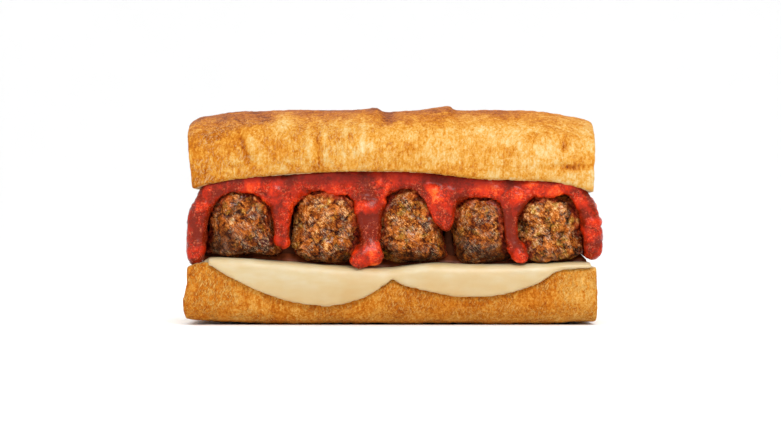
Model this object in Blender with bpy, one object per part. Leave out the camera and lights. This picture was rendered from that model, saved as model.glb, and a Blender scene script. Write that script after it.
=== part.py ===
"""A meatball submarine sandwich, at its real size, in metres, standing on its flat base with +Z up.

A crusty roll, cut square at both ends and split in two, holds two rows of five meatballs in chunky tomato
sauce. They lie on two round slices of melted cheese that hang over both long sides of the lower half. The
front is -Y.
"""

import math
import random

import bmesh
import bpy
import numpy as np
from mathutils import Vector, noise

MM = 0.001

# Roll, split into a lower and an upper half. Its ends lean a little, as a knife leaves them.
BOTTOM_LEFT, BOTTOM_RIGHT = -90.0 * MM, 88.2 * MM
TOP_LEFT, TOP_RIGHT = -88.9 * MM, 86.8 * MM
ROLL_HALF_WIDTH = 39.5 * MM
CUT_HALF_WIDTH = 38.3 * MM
BASE_HALF_WIDTH = 29.0 * MM
SHOULDER = 13.0 * MM
RIM_ROUND = 1.6 * MM
LOAF_TOP = 95.0 * MM
LIP_TO_WIDEST = 9.0 * MM
LIP_ROUND = 1.2 * MM
CROWN_POWER = 2.35
END_TAPER, TAPER_LENGTH = 7.0 * MM, 8.5 * MM
STATION_STEP = 7.6 * MM
CRUST_SWELL = 0.55 * MM

# Height of the cut edge of each half along the roll: (x, z), joined by a smooth line.
RIM_LINE = [(-91, 23.4), (-85, 26.6), (-77, 27.3), (-45, 25), (-4, 22.6), (16, 24.8), (34, 24), (92, 25.2)]
LIP_LINE = [(-91, 58.6), (-78, 62), (-52, 64.9), (-14, 66.7), (8, 66.3), (42, 62.9), (67, 62.4), (92, 56.8)]
# Height of the base, flat but for a slight rise towards the ends.
BASE_LINE = [(-91, 2.0), (-72, 0.6), (-50, 0.0), (70, 0.0), (92, 0.9)]
# How far each cut end leans along the roll per unit of height.
BOTTOM_LEAN = (0.05, 0.0)
TOP_LEAN = (-0.05, 0.0)

# Crust torn across the crown: place of the tear, how far the crust curls up before it and over what length,
# and how far it sinks behind it and over what length.
TEARS = [
    (-7.0 * MM, 1.2 * MM, 9.0 * MM, 1.1 * MM, 12.0 * MM),
    (25.0 * MM, 2.0 * MM, 12.0 * MM, 0.4 * MM, 6.0 * MM),
]
TEAR_STEP = 2.4 * MM

# Cheese: one sheet of two slices that meet at JOIN, each hanging over the rim in a scallop.
CHEESE = 1.8 * MM
GAP = 0.35 * MM
CHEESE_LEFT, CHEESE_RIGHT, CHEESE_JOIN = -89.0 * MM, 85.5 * MM, -0.6 * MM
OVER_RIM = 1.0 * MM
CHEESE_STATIONS = 16
# The last points of the lower half's outline, under its widest part, where no cheese ever reaches.
BASE_POINTS = 3
# Each scallop: slice, side, its two ends and its lowest place along the roll, how far it hangs there, and
# how straight it runs down from either end.
SCALLOPS = [
    ("left", -1, -80.0 * MM, 1.5 * MM, -32.0 * MM, 15.0 * MM, 0.75, 0.9),
    ("right", -1, -1.0 * MM, 71.0 * MM, 31.0 * MM, 11.3 * MM, 0.5, 0.55),
    ("left", 1, -76.0 * MM, 2.0 * MM, -44.0 * MM, 9.5 * MM, 0.8, 0.9),
    ("right", 1, -3.0 * MM, 77.0 * MM, 41.0 * MM, 12.5 * MM, 0.9, 0.7),
]

# Meatballs of the front row, as the eye meets them: centre along the roll, and half the width.
FRONT_ROW = [(-66.5, 16.2), (-28.0, 17.2), (6.9, 15.5), (39.0, 14.3), (67.9, 15.5)]
ROW_DEPTH = 19.6 * MM
BALL_HALF_DEPTH = 17.3 * MM
ROW_GAP = 0.4 * MM
UNDER_BREAD = 2.6 * MM
BALL_POWER = 2.3
LUMP, CRAG = 0.085, 0.05
BALL_SEED = 11

# Sauce is strokes of round dabs, each (x, y, z, radius) in millimetres, that run together.
# A rope of it lies under the bread over each row: its ends, depth, thickness, and its place below the lip.
ROPE_LEFT, ROPE_RIGHT, ROPE_STEP = -80.0, 79.0, 6.0
ROPE_DEPTH, ROPE_RADIUS, ROPE_DROP = 31.4, 4.2, 3.5
ROPE_SAG = 3.4
# What hangs from the rope between the meatballs of the front row: where it starts and half its width there,
# how fast it narrows, how far it bows aside, and its tip (x, depth, z, radius).
FRONT_DRIPS = [
    (-49.7, 5.4, 1.0, 0.0, (-48.9, 34.6, 35.6, 3.2)),
    (-11.7, 8.2, 1.6, 0.0, (-10.4, 35.6, 34.0, 3.9)),
    (18.0, 9.8, 1.0, 0.0, (23.2, 32.8, 40.6, 2.0)),
    (52.7, 7.7, 3.0, -2.3, (51.8, 35.4, 35.0, 3.1)),
]
# The same in the back row, which starts over the gap between two meatballs: half width, narrowing, bow, tip.
BACK_DRIPS = [
    (5.6, 1.2, 1.0, (0.8, 34.0, 44.0, 3.4)),
    (6.8, 1.5, -1.2, (-0.6, 38.2, 30.6, 4.4)),
    (8.4, 1.0, 0.0, (1.4, 33.4, 49.0, 3.2)),
    (6.0, 2.0, 1.4, (-1.0, 35.0, 36.5, 3.6)),
]
DRIP_TOP, DRIP_RADIUS, DRIP_DABS = 56.0, 4.4, 5
# Round drops that have reached the rim: the drip each hangs from, and its dab.
DROPS = [
    (1, (-15.2, -38.2, 28.0, 4.8)),
    (1, (-7.4, -38.0, 29.9, 3.7)),
    (3, (54.9, -37.6, 29.4, 4.2)),
]
# Runs of sauce side by side over each cut end: (x, z, radius) of each dab from the top down.
LEFT_END_RUN = [(-80, 57, 4.4), (-84.5, 51.4, 4.6), (-86.5, 45, 4.7), (-86.5, 35.5, 4.5)]
RIGHT_END_RUN = [(78, 56.4, 4.4), (84, 51.8, 4.3), (85.8, 44, 4.4), (87.0, 36.8, 4.6)]
END_RUNS, END_RUN_DEPTH = 9, 32.2
END_RUN_VARY, CORNER_LOWER = 4.2, 4.2

# Sauce that fills the space around the meatballs: left, right, half width and foot of each block.
SAUCE_BLOCKS = [
    (-82.0 * MM, 80.0 * MM, 32.0 * MM, 53.0 * MM),
    (-68.0 * MM, 69.0 * MM, 24.0 * MM, 24.0 * MM),
]
SAUCE_VOXEL = 1.3 * MM
SAUCE_PRESS_GAP = 0.9 * MM
SAUCE_KEEP = 0.055
SAUCE_SEED = 5

# Colour and roughness of each material.
TOP_CRUST = ((0.80, 0.42, 0.12), 0.6)
BOTTOM_CRUST = ((0.58, 0.20, 0.035), 0.65)
CHEESE_SKIN = ((0.83, 0.65, 0.37), 0.35)
MEAT = ((0.31, 0.10, 0.035), 0.45)
TOMATO = ((0.53, 0.045, 0.022), 0.2)


def clear_scene():
    for obj in list(bpy.data.objects):
        bpy.data.objects.remove(obj)


def make_material(name, look):
    colour, roughness = look
    material = bpy.data.materials.new(name)
    material.use_nodes = True
    shader = material.node_tree.nodes["Principled BSDF"]
    shader.inputs["Base Color"].default_value = (*colour, 1.0)
    shader.inputs["Roughness"].default_value = roughness
    shader.inputs["Metallic"].default_value = 0.0
    return material


def make_object(name, bm, material, parent=None):
    mesh = bpy.data.meshes.new(name)
    bmesh.ops.recalc_face_normals(bm, faces=bm.faces)
    bm.to_mesh(mesh)
    bm.free()
    mesh.materials.append(material)
    mesh.shade_smooth()
    mesh.set_sharp_from_angle(angle=math.radians(40))
    obj = bpy.data.objects.new(name, mesh)
    obj.parent = parent
    bpy.context.scene.collection.objects.link(obj)
    return obj


def smooth_line(points, x):
    """Height at x of a line through the points, level at each peak and hollow between them."""
    at = x / MM
    xs = [p[0] for p in points]
    zs = [p[1] for p in points]
    slopes = [0.0] * len(points)
    for i in range(1, len(points) - 1):
        before = (zs[i] - zs[i - 1]) / (xs[i] - xs[i - 1])
        after = (zs[i + 1] - zs[i]) / (xs[i + 1] - xs[i])
        if before * after > 0:
            slopes[i] = 2 * before * after / (before + after)
    at = min(max(at, xs[0]), xs[-1])
    i = min(max(np.searchsorted(xs, at) - 1, 0), len(xs) - 2)
    width = xs[i + 1] - xs[i]
    t = (at - xs[i]) / width
    height = (
        (2 * t**3 - 3 * t**2 + 1) * zs[i]
        + (t**3 - 2 * t**2 + t) * width * slopes[i]
        + (3 * t**2 - 2 * t**3) * zs[i + 1]
        + (t**3 - t**2) * width * slopes[i + 1]
    )
    return height * MM


def rim_height(x):
    return smooth_line(RIM_LINE, x)


def lip_height(x):
    return smooth_line(LIP_LINE, x)


def base_height(x):
    return smooth_line(BASE_LINE, x)


def swell(x, around, seed):
    """How far the crust stands out of its mean form, at a place along and around the roll."""
    place = Vector((x / (22 * MM), around * 1.7, seed))
    return CRUST_SWELL * noise.noise(place)


def arc(centre, radius, start, end, steps):
    """Points on an arc from one angle to another, in degrees, both ends included."""
    angles = np.radians(np.linspace(start, end, steps + 1))
    return [(centre[0] + radius * math.cos(a), centre[1] + radius * math.sin(a)) for a in angles]


def bottom_side(x, side):
    """One side of the lower half at x, from the middle of its cut face to the middle of its base.

    Points are (distance from the middle plane, height). side is -1 at the front and 1 at the back.
    """
    rim = rim_height(x)
    points = [(0.0, rim), (CUT_HALF_WIDTH * 0.5, rim)]
    points += arc((CUT_HALF_WIDTH - RIM_ROUND, rim - RIM_ROUND), RIM_ROUND, 90, 0, 3)
    for share in (0.3, 0.65):
        z = rim - RIM_ROUND - share * (rim - RIM_ROUND - SHOULDER)
        lean = 1 - (1 - share) ** 2
        y = CUT_HALF_WIDTH + lean * (ROLL_HALF_WIDTH - CUT_HALF_WIDTH)
        points.append((y + swell(x, z / SHOULDER, side), z))
    base = base_height(x)
    for angle in np.radians(np.linspace(0, 90, 7)):
        y = BASE_HALF_WIDTH + (ROLL_HALF_WIDTH - BASE_HALF_WIDTH) * math.cos(angle) ** 0.85
        z = SHOULDER - (SHOULDER - base) * math.sin(angle) ** 0.85
        points.append((y + swell(x, z / SHOULDER, side) * math.cos(angle), z))
    points.append((0.0, base))
    return points


def crown_height(x):
    """Height of the roll's crown, which falls towards both ends and curls up where the crust has torn."""
    height = LOAF_TOP
    for end in (TOP_LEFT, TOP_RIGHT):
        height -= END_TAPER * math.exp(-abs(x - end) / TAPER_LENGTH)
    for place, curl, before, dip, behind in TEARS:
        if x <= place:
            height += curl * math.exp(-2 * ((place - x) / before) ** 2)
        else:
            height -= dip * math.exp(-2 * ((x - place) / behind) ** 2)
    return height


def top_side(x, side):
    """One side of the upper half at x, from its crown down the crust to the middle of its cut face."""
    lip = lip_height(x)
    widest = lip + LIP_TO_WIDEST
    crown = crown_height(x)
    points = []
    for angle in np.radians(np.linspace(90, 0, 10)):
        y = ROLL_HALF_WIDTH * math.cos(angle) ** (2 / CROWN_POWER)
        z = widest + (crown - widest) * math.sin(angle) ** (2 / CROWN_POWER)
        y += swell(x, 2 + 2 * angle, side) * math.cos(angle)
        points.append((y, z))
    foot = lip + LIP_ROUND
    points.append((CUT_HALF_WIDTH + 0.6 * MM, lip + 0.45 * LIP_TO_WIDEST))
    points += arc((CUT_HALF_WIDTH - LIP_ROUND, foot), LIP_ROUND, 0, -90, 2)
    points += [(CUT_HALF_WIDTH * 0.5, lip), (0.0, lip)]
    return points


def grown(points, by):
    """A side's points moved outwards, at right angles to it, by the distance given."""
    if not by:
        return points
    moved = []
    for i, (y, z) in enumerate(points):
        before = points[max(i - 1, 0)]
        after = points[min(i + 1, len(points) - 1)]
        along = Vector((after[0] - before[0], after[1] - before[1])).normalized()
        moved.append((y - by * along[1], z + by * along[0]))
    return moved


def whole_outline(side_of, x, by=0.0):
    """The closed outline of a half at x, as (y, z): down its back side, then up its front side."""
    back = grown(side_of(x, 1), by)
    front = grown(side_of(x, -1), by)
    return back + [(-y, z) for y, z in reversed(front[1:-1])]


def stations(start, end, extra=()):
    """Places along the roll, evenly spaced, with some more where the crust changes fast."""
    count = math.ceil((end - start) / STATION_STEP)
    places = list(np.linspace(start, end, count + 1))
    for place in extra:
        if min(abs(place - p) for p in places) > 0.8 * MM:
            places.append(place)
    return sorted(places)


def loft(name, side_of, places, material, lean=(0.0, 0.0), by=0.0, parent=None):
    """One closed solid through the outlines at the given places, with a flat cap at each end."""
    bm = bmesh.new()
    rings = []
    for x in places:
        share = (x - places[0]) / (places[-1] - places[0])
        outline = whole_outline(side_of, x, by)
        tilt = lean[0] * (1 - share) + lean[1] * share
        middle = sum(z for _, z in outline) / len(outline)
        rings.append([bm.verts.new((x + tilt * (z - middle), y, z)) for y, z in outline])
    for near, far in zip(rings, rings[1:]):
        for k in range(len(near)):
            after = (k + 1) % len(near)
            bm.faces.new((near[k], near[after], far[after], far[k]))
    bm.faces.new(rings[0])
    bm.faces.new(rings[-1])
    return make_object(name, bm, material, parent)


def scallop_drop(x, slice_name, side):
    """How far below the rim's top the cheese ends at x."""
    drop = OVER_RIM
    for name, its_side, start, end, lowest, depth, left_full, right_full in SCALLOPS:
        if name != slice_name or its_side != side or not start < x < end:
            continue
        reach, full = (start, left_full) if x < lowest else (end, right_full)
        share = (x - lowest) / (reach - lowest)
        drop = OVER_RIM + depth * math.cos(share * math.pi / 2) ** full
    return drop


def surface_walk(x, side, lift, end_drop):
    """Points lifted off the lower half at x, from its middle to where it is end_drop below the rim.

    Places past that end fall together on it, so that every x gives as many points.
    """
    points = bottom_side(x, side)
    raised = grown(points, lift)
    end_height = rim_height(x) - end_drop
    walk = [raised[0]]
    for k in range(1, len(points) - BASE_POINTS):
        above, below = points[k - 1][1], points[k][1]
        if below >= end_height:
            walk.append(raised[k])
        elif above > end_height:
            share = (above - end_height) / (above - below)
            walk.append(tuple(a + share * (b - a) for a, b in zip(raised[k - 1], raised[k])))
        else:
            walk.append(walk[-1])
    return walk


def cheese_slice(name, slice_name, start, end, material, parent):
    """One melted slice: a thin sheet that lies on the cut face and hangs down both sides."""
    bm = bmesh.new()
    sheets = []
    for turn in np.linspace(0, math.pi, CHEESE_STATIONS):
        x = start + (end - start) * (1 - math.cos(turn)) / 2
        columns = []
        for lift in (GAP, GAP + CHEESE):
            line = []
            for side in (-1, 1):
                walk = surface_walk(x, side, lift, scallop_drop(x, slice_name, side))
                line.append([(x, side * y, z) for y, z in walk])
            columns.append(list(reversed(line[0])) + line[1][1:])
        sheets.append([[bm.verts.new(p) for p in column] for column in columns])
    for near, far in zip(sheets, sheets[1:]):
        for layer in (0, 1):
            for k in range(len(near[layer]) - 1):
                bm.faces.new((near[layer][k], near[layer][k + 1], far[layer][k + 1], far[layer][k]))
        for k in (0, -1):
            bm.faces.new((near[0][k], near[1][k], far[1][k], far[0][k]))
    for under, over in (sheets[0], sheets[-1]):
        for k in range(len(under) - 1):
            bm.faces.new((under[k], under[k + 1], over[k + 1], over[k]))
    bmesh.ops.remove_doubles(bm, verts=bm.verts, dist=0.02 * MM)
    bmesh.ops.triangulate(bm, faces=bm.faces)
    return make_object(name, bm, material, parent)


def front_row():
    """Centre along the roll, depth and half width of each meatball in the front row."""
    return [(x * MM, -ROW_DEPTH, half * MM) for x, half in FRONT_ROW]


def back_row():
    """The hidden row: as many meatballs over the same length, each a little off its place."""
    draw = random.Random(BALL_SEED)
    first, last = FRONT_ROW[0][0], FRONT_ROW[-1][0]
    count = len(FRONT_ROW)
    row = []
    for i in range(count):
        x = first + (last - first) * i / (count - 1) + draw.uniform(-1.2, 1.2)
        row.append((x * MM, ROW_DEPTH, draw.uniform(16.4, 17.2) * MM))
    return row


def cells_of(row):
    """The stretch of the roll that each meatball may fill before it presses on its neighbour."""
    walls = [-1.0]
    for (x, _, half), (next_x, _, next_half) in zip(row, row[1:]):
        walls.append(x + (next_x - x) * half / (half + next_half))
    walls.append(1.0)
    return [(a + ROW_GAP / 2, b - ROW_GAP / 2) for a, b in zip(walls, walls[1:])]


def meatball_points(points, ball, cell, seed, grow=0.0):
    """A unit sphere's points, as the skin of a lumpy meatball pressed between cheese and bread."""
    x, y, half = ball
    floor = rim_height(x) + 2 * GAP + CHEESE
    ceiling = lip_height(x) - UNDER_BREAD
    centre = Vector((x, y, (floor + ceiling) / 2))
    half_height = (ceiling - floor) / 2 + 0.4 * MM
    inner = ROW_GAP if y > 0 else -ROW_GAP
    placed = []
    for direction in points:
        square = sum(abs(d) ** BALL_POWER for d in direction) ** (-1 / BALL_POWER)
        lumps = LUMP * noise.noise(direction * 1.7 + Vector((seed, 0, 0)))
        crags = CRAG * noise.noise(direction * 4.3 + Vector((0, seed, 0)))
        stretch = square * (1 + lumps + crags)
        reach = Vector((half, BALL_HALF_DEPTH, half_height)) * stretch
        p = centre + Vector(d * r for d, r in zip(direction, reach))
        p.x = min(max(p.x, cell[0]), cell[1])
        p.y = max(p.y, inner) if y > 0 else min(p.y, inner)
        p.z = min(max(p.z, rim_height(p.x) + 2 * GAP + CHEESE), lip_height(p.x) - 2 * GAP)
        placed.append(p + direction * grow)
    return placed


def meatball(name, ball, cell, seed, material, grow=0.0, parent=None):
    bm = bmesh.new()
    bmesh.ops.create_icosphere(bm, subdivisions=3, radius=1.0)
    spots = meatball_points([v.co.normalized() for v in bm.verts], ball, cell, seed, grow)
    for vert, spot in zip(bm.verts, spots):
        vert.co = spot
    return make_object(name, bm, material, parent)


def along(stroke, step=0.45):
    """Dabs along a stroke, close enough together to make one smooth rope."""
    dabs = []
    for (x0, y0, z0, r0), (x1, y1, z1, r1) in zip(stroke, stroke[1:]):
        length = math.dist((x0, y0, z0), (x1, y1, z1))
        count = max(1, round(length / (step * min(r0, r1))))
        for i in range(count):
            t = i / count
            dabs.append(tuple(a + (b - a) * t for a, b in zip((x0, y0, z0, r0), (x1, y1, z1, r1))))
    return dabs + [stroke[-1]]


def gaps_of(row):
    """Where each two neighbours of a row meet, in millimetres along the roll."""
    return [wall[1] / MM for wall in cells_of(row)[:-1]]


def rope(side, sags):
    """The sauce under the bread along one side, which sags where something hangs from it."""
    stroke = []
    for x in np.arange(ROPE_LEFT, ROPE_RIGHT + ROPE_STEP / 2, ROPE_STEP):
        z = lip_height(x * MM) / MM - ROPE_DROP
        for place, half in sags:
            z -= ROPE_SAG * math.exp(-(((x - place) / (half + 3)) ** 2))
        stroke.append((x, side * ROPE_DEPTH, z, ROPE_RADIUS))
    return stroke


def drip(side, start, half, narrowing, bow, tip):
    """Strokes down both edges and the middle of a drip, which come together at its tip."""
    tip_x, tip_depth, tip_z, tip_radius = tip
    strokes = []
    for edge in (-1, 0, 1):
        stroke = []
        for t in np.linspace(0, 1, DRIP_DABS):
            half_here = tip_radius + (half - tip_radius) * (1 - t) ** narrowing
            radius = min(half_here, DRIP_RADIUS)
            x = start + (tip_x - start) * t + bow * math.sin(math.pi * t) + edge * (half_here - radius)
            depth = ROPE_DEPTH + 0.6 + (tip_depth - ROPE_DEPTH - 0.6) * t
            stroke.append((x, side * depth, DRIP_TOP + (tip_z - DRIP_TOP) * t, radius))
        strokes.append(stroke)
    return strokes


def front_strokes():
    strokes = [rope(-1, [(start, half) for start, half, *_ in FRONT_DRIPS])]
    for start, half, narrowing, bow, tip in FRONT_DRIPS:
        strokes += drip(-1, start, half, narrowing, bow, tip)
    for index, drop in DROPS:
        x, depth, z, radius = FRONT_DRIPS[index][-1]
        strokes.append([(x, -depth, z, radius), drop])
    return strokes


def back_strokes():
    gaps = gaps_of(back_row())
    strokes = [rope(1, [(gap, shape[0]) for gap, shape in zip(gaps, BACK_DRIPS)])]
    for gap, (half, narrowing, bow, (aside, depth, z, radius)) in zip(gaps, BACK_DRIPS):
        strokes += drip(1, gap, half, narrowing, bow, (gap + aside, depth, z, radius))
    return strokes


def end_strokes():
    """Sauce that has slid down over the meatballs at both cut ends, lowest at the two front corners."""
    draw = random.Random(SAUCE_SEED)
    strokes = []
    for y in np.linspace(-END_RUN_DEPTH, END_RUN_DEPTH, END_RUNS):
        for run in (LEFT_END_RUN, RIGHT_END_RUN):
            at_corner = y == -END_RUN_DEPTH
            lower = CORNER_LOWER if at_corner else draw.uniform(-END_RUN_VARY, END_RUN_VARY)
            x, z, radius = run[-1]
            strokes.append([(x, y, z, radius) for x, z, radius in run[:-1]] + [(x, y, z - lower, radius)])
    return strokes


def sauce_mass(material):
    """All the sauce before anything is pressed into it: dabs and a slab under the bread, run together."""
    bm = bmesh.new()
    for stroke in front_strokes() + back_strokes() + end_strokes():
        for x, y, z, radius in along(stroke):
            dab = bmesh.ops.create_icosphere(bm, subdivisions=2, radius=radius * MM)
            bmesh.ops.translate(bm, verts=dab["verts"], vec=Vector((x, y, z)) * MM)
    top = max(z for _, z in LIP_LINE) * MM
    for left, right, half_width, foot in SAUCE_BLOCKS:
        block = bmesh.ops.create_cube(bm, size=1.0)
        bmesh.ops.scale(bm, verts=block["verts"], vec=(right - left, 2 * half_width, top - foot))
        bmesh.ops.translate(bm, verts=block["verts"], vec=((left + right) / 2, 0, (top + foot) / 2))
    return make_object("sauce_mass", bm, material)


def evaluated_mesh(obj):
    graph = bpy.context.evaluated_depsgraph_get()
    return bpy.data.meshes.new_from_object(obj.evaluated_get(graph))


def largest_piece(mesh):
    """Drops every loose scrap and every sealed hollow, so that one closed skin is left."""
    bm = bmesh.new()
    bm.from_mesh(mesh)
    unseen = set(bm.faces)
    pieces = []
    while unseen:
        reached = {unseen.pop()}
        edge_of_it = list(reached)
        while edge_of_it:
            face = edge_of_it.pop()
            for edge in face.edges:
                for other in edge.link_faces:
                    if other in unseen:
                        unseen.discard(other)
                        reached.add(other)
                        edge_of_it.append(other)
        pieces.append(reached)
    kept = max(pieces, key=lambda faces: sum(f.calc_area() for f in faces))
    bmesh.ops.delete(bm, geom=[f for f in bm.faces if f not in kept], context="FACES")
    return bm


def make_sauce(material, rows, parent):
    """The sauce as one solid, shaped by the meatballs, the cheese and the bread that press into it."""
    mass = sauce_mass(material)
    remesh = mass.modifiers.new("run_together", "REMESH")
    remesh.mode = "VOXEL"
    remesh.voxel_size = SAUCE_VOXEL
    smooth = mass.modifiers.new("settle", "SMOOTH")
    smooth.factor = 0.5
    smooth.iterations = 3
    cutters = bpy.data.collections.new("sauce_cutters")
    bpy.context.scene.collection.children.link(cutters)
    places = stations(BOTTOM_LEFT - 8 * MM, BOTTOM_RIGHT + 8 * MM)
    pressed = [
        loft("press_bottom", bottom_side, places, material, by=SAUCE_PRESS_GAP + GAP + CHEESE),
        loft("press_top", top_side, places, material, by=SAUCE_PRESS_GAP),
    ]
    for name, row in rows:
        for i, (ball, cell) in enumerate(zip(row, cells_of(row))):
            seed = seed_of(name, i)
            pressed.append(meatball(f"press_{name}_{i}", ball, cell, seed, material, grow=SAUCE_PRESS_GAP))
    for obj in pressed:
        obj.hide_render = True
        obj.display_type = "WIRE"
        bpy.context.scene.collection.objects.unlink(obj)
        cutters.objects.link(obj)
    cut = mass.modifiers.new("press_in", "BOOLEAN")
    cut.operation = "DIFFERENCE"
    cut.operand_type = "COLLECTION"
    cut.collection = cutters
    again = mass.modifiers.new("soften_edges", "REMESH")
    again.mode = "VOXEL"
    again.voxel_size = SAUCE_VOXEL
    fewer = mass.modifiers.new("fewer_faces", "DECIMATE")
    fewer.ratio = SAUCE_KEEP
    bpy.context.view_layer.update()
    bm = largest_piece(evaluated_mesh(mass))
    for obj in pressed + [mass]:
        bpy.data.objects.remove(obj)
    bpy.data.collections.remove(cutters)
    bmesh.ops.triangulate(bm, faces=bm.faces)
    return make_object("sauce", bm, material, parent)


def seed_of(row_name, index):
    return (3.1 if row_name == "front" else 57.9) + 7.3 * index


def main():
    clear_scene()
    sandwich = bpy.data.objects.new("sandwich", None)
    bpy.context.scene.collection.objects.link(sandwich)
    pale_crust = make_material("pale_crust", TOP_CRUST)
    dark_crust = make_material("dark_crust", BOTTOM_CRUST)
    cheese = make_material("cheese", CHEESE_SKIN)
    meat = make_material("meat", MEAT)
    tomato = make_material("tomato", TOMATO)

    places = stations(BOTTOM_LEFT, BOTTOM_RIGHT)
    loft("bread_bottom", bottom_side, places, dark_crust, BOTTOM_LEAN, parent=sandwich)
    tears = [tear[0] + step for tear in TEARS for step in (0.0, TEAR_STEP)]
    ends = [TOP_LEFT + 3 * MM, TOP_RIGHT - 3 * MM]
    places = stations(TOP_LEFT, TOP_RIGHT, tears + ends)
    loft("bread_top", top_side, places, pale_crust, TOP_LEAN, parent=sandwich)

    halves = [("left", CHEESE_LEFT, CHEESE_JOIN - GAP / 2), ("right", CHEESE_JOIN + GAP / 2, CHEESE_RIGHT)]
    for name, start, end in halves:
        cheese_slice(f"cheese_{name}", name, start, end, cheese, sandwich)

    rows = [("front", front_row()), ("back", back_row())]
    for name, row in rows:
        for i, (ball, cell) in enumerate(zip(row, cells_of(row))):
            meatball(f"meatball_{name}_{i + 1}", ball, cell, seed_of(name, i), meat, parent=sandwich)
    make_sauce(tomato, rows, sandwich)


main()
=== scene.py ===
"""The dressed sandwich: crust, crumb, meat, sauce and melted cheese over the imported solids, in a pale studio.

Sizes are in metres. The sandwich lies along X, and its front faces -Y.
"""

import math

import bmesh
import bpy
import numpy as np
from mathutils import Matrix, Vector, noise
from mathutils.bvhtree import BVHTree
from mathutils.kdtree import KDTree


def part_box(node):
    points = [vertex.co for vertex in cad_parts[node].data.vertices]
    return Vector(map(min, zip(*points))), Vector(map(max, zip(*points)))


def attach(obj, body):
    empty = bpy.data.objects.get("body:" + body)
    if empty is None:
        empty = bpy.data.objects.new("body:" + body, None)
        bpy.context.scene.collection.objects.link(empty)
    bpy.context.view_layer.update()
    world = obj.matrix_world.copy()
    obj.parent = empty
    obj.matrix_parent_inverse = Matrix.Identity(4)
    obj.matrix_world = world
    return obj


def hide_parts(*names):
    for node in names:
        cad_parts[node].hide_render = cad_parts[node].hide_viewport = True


MM = 0.001

# Fineness of each kind of piece.
BREAD_VOXEL = 0.85 * MM
MEAT_VOXEL = 0.52 * MM
SAUCE_VOXEL = 0.86 * MM
CHEESE_VOXEL = 0.9 * MM

# How the solids' triangles are joined up before their facets are rounded.
WELD_DISTANCE = 0.01 * MM
NEARLY_FLAT = math.radians(15)
NEARLY_SQUARE = math.radians(60)

# Camera: level, square on to the front.
CAMERA_DISTANCE = 0.981
CAMERA_HEIGHT = 0.0455
CAMERA_SIDE = -0.0017
LENS = 100
SENSOR_WIDTH = 36
NEAREST_SEEN = 0.05

# Studio sweep.
FLOOR_RADIUS = 1.2
SWEEP_CURVE = 1.8
WALL_HEIGHT = 2.4
CURVE_STEPS = 12
FLOOR_SIDES = 96
FLOOR_DROP = 0.3 * MM

# Soft lights: place, width and height, power in watts.
SURROUND_STRENGTH = 1.07
LIGHTS_AIM = (0, 0, 0.05)
LIGHTS = {
    "key": ((0.2, -0.75, 0.75), (0.45, 0.3), 6.3),
    "fill": ((-0.8, -0.7, 0.35), (0.6, 0.6), 1),
    "rim": ((-0.3, 0.8, 0.8), (0.8, 0.5), 3),
}

# Crust relief: heights, and the features' sizes along, across and up.
HUMP_HEIGHT = 0.35 * MM
HUMP_SIZE = 16 * MM
WRINKLE_HEIGHT = 0.22 * MM
WRINKLE_SIZE = (4.2 * MM, 30 * MM, 26 * MM)
CRUST_GRAIN_HEIGHT = 0.2 * MM
CRUMB_GRAIN_HEIGHT = 0.25 * MM
BREAD_GRAIN_SIZE = 2.2 * MM

# Crumb: its pores, and the faces that the knife opened.
PORE_DEPTH = 1.3 * MM
PORE_SIZE = 3.6 * MM
SMALL_PORE_SIZE = 1.7 * MM
PORE_WARP = 0.9 * MM
PORE_WARP_SIZE = 3 * MM
CRUST_RING = 1.6 * MM
EDGE_STEP = 2 * MM
CUT_REACH = 3 * MM
CUT_HALF_DEPTH = 36.5 * MM
END_REACH = 3.5 * MM
FLAT_FACING = 0.75
SLOPING_FACING = 0.3
EDGE_FADE = 20 * MM

# Corners and foot of the roll: how far they are drawn out or up, and the limits between which that grows.
CORNER_REACH = 1.2 * MM
CORNER_RISE = 1.5 * MM
LEFT_CORNER_REACH = 1.0 * MM
TOP_CORNER_HEIGHTS = (66 * MM, 84 * MM)
TOP_CORNER_PLACES = (78 * MM, 88 * MM)
LEFT_CORNER_HEIGHTS = (17 * MM, 24 * MM)
LEFT_CORNER_PLACES = (78 * MM, 86 * MM)
FOOT_FLARE = 1.6 * MM
FOOT_HEIGHT = 9 * MM
FOOT_HALF_HEIGHT = 8 * MM
FOOT_PLACES = (82 * MM, 90 * MM)

# Marks on the crown's front, in mm: place along and up, half width, half height, lean, depth.
CRUST_MARKS = [
    (-65.3, 77.0, 1.0, 7.0, 0.35, 1.0),
    (-61.0, 77.0, 3.0, 6.5, 0.35, -0.8),
    (-57.0, 90.5, 5.0, 2.5, 0.0, 0.7),
    (-48.5, 88.5, 3.5, 4.0, 0.0, -0.8),
    (-37.0, 78.0, 1.5, 8.0, 0.10, -0.9),
    (-33.2, 78.0, 0.8, 9.0, 0.06, 0.6),
    (-30.0, 77.0, 1.3, 9.0, 0.06, -0.6),
    (-21.5, 79.0, 1.2, 8.0, -0.05, -0.6),
    (-14.0, 79.0, 1.5, 9.0, -0.08, -0.7),
    (-3.0, 90.5, 3.0, 4.0, 0.0, 1.0),
    (-70.0, 71.0, 3.0, 2.0, 0.0, -0.8),
    (76.0, 68.5, 12.0, 1.3, -0.02, 1.0),
    (78.0, 63.5, 13.0, 3.2, 0.0, -0.25),
    (73.5, 77.0, 1.2, 1.6, 0.0, 1.0),
]
MARK_DEPTH = 0.7 * MM
MARKS_FRONT = (5 * MM, 20 * MM)

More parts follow.
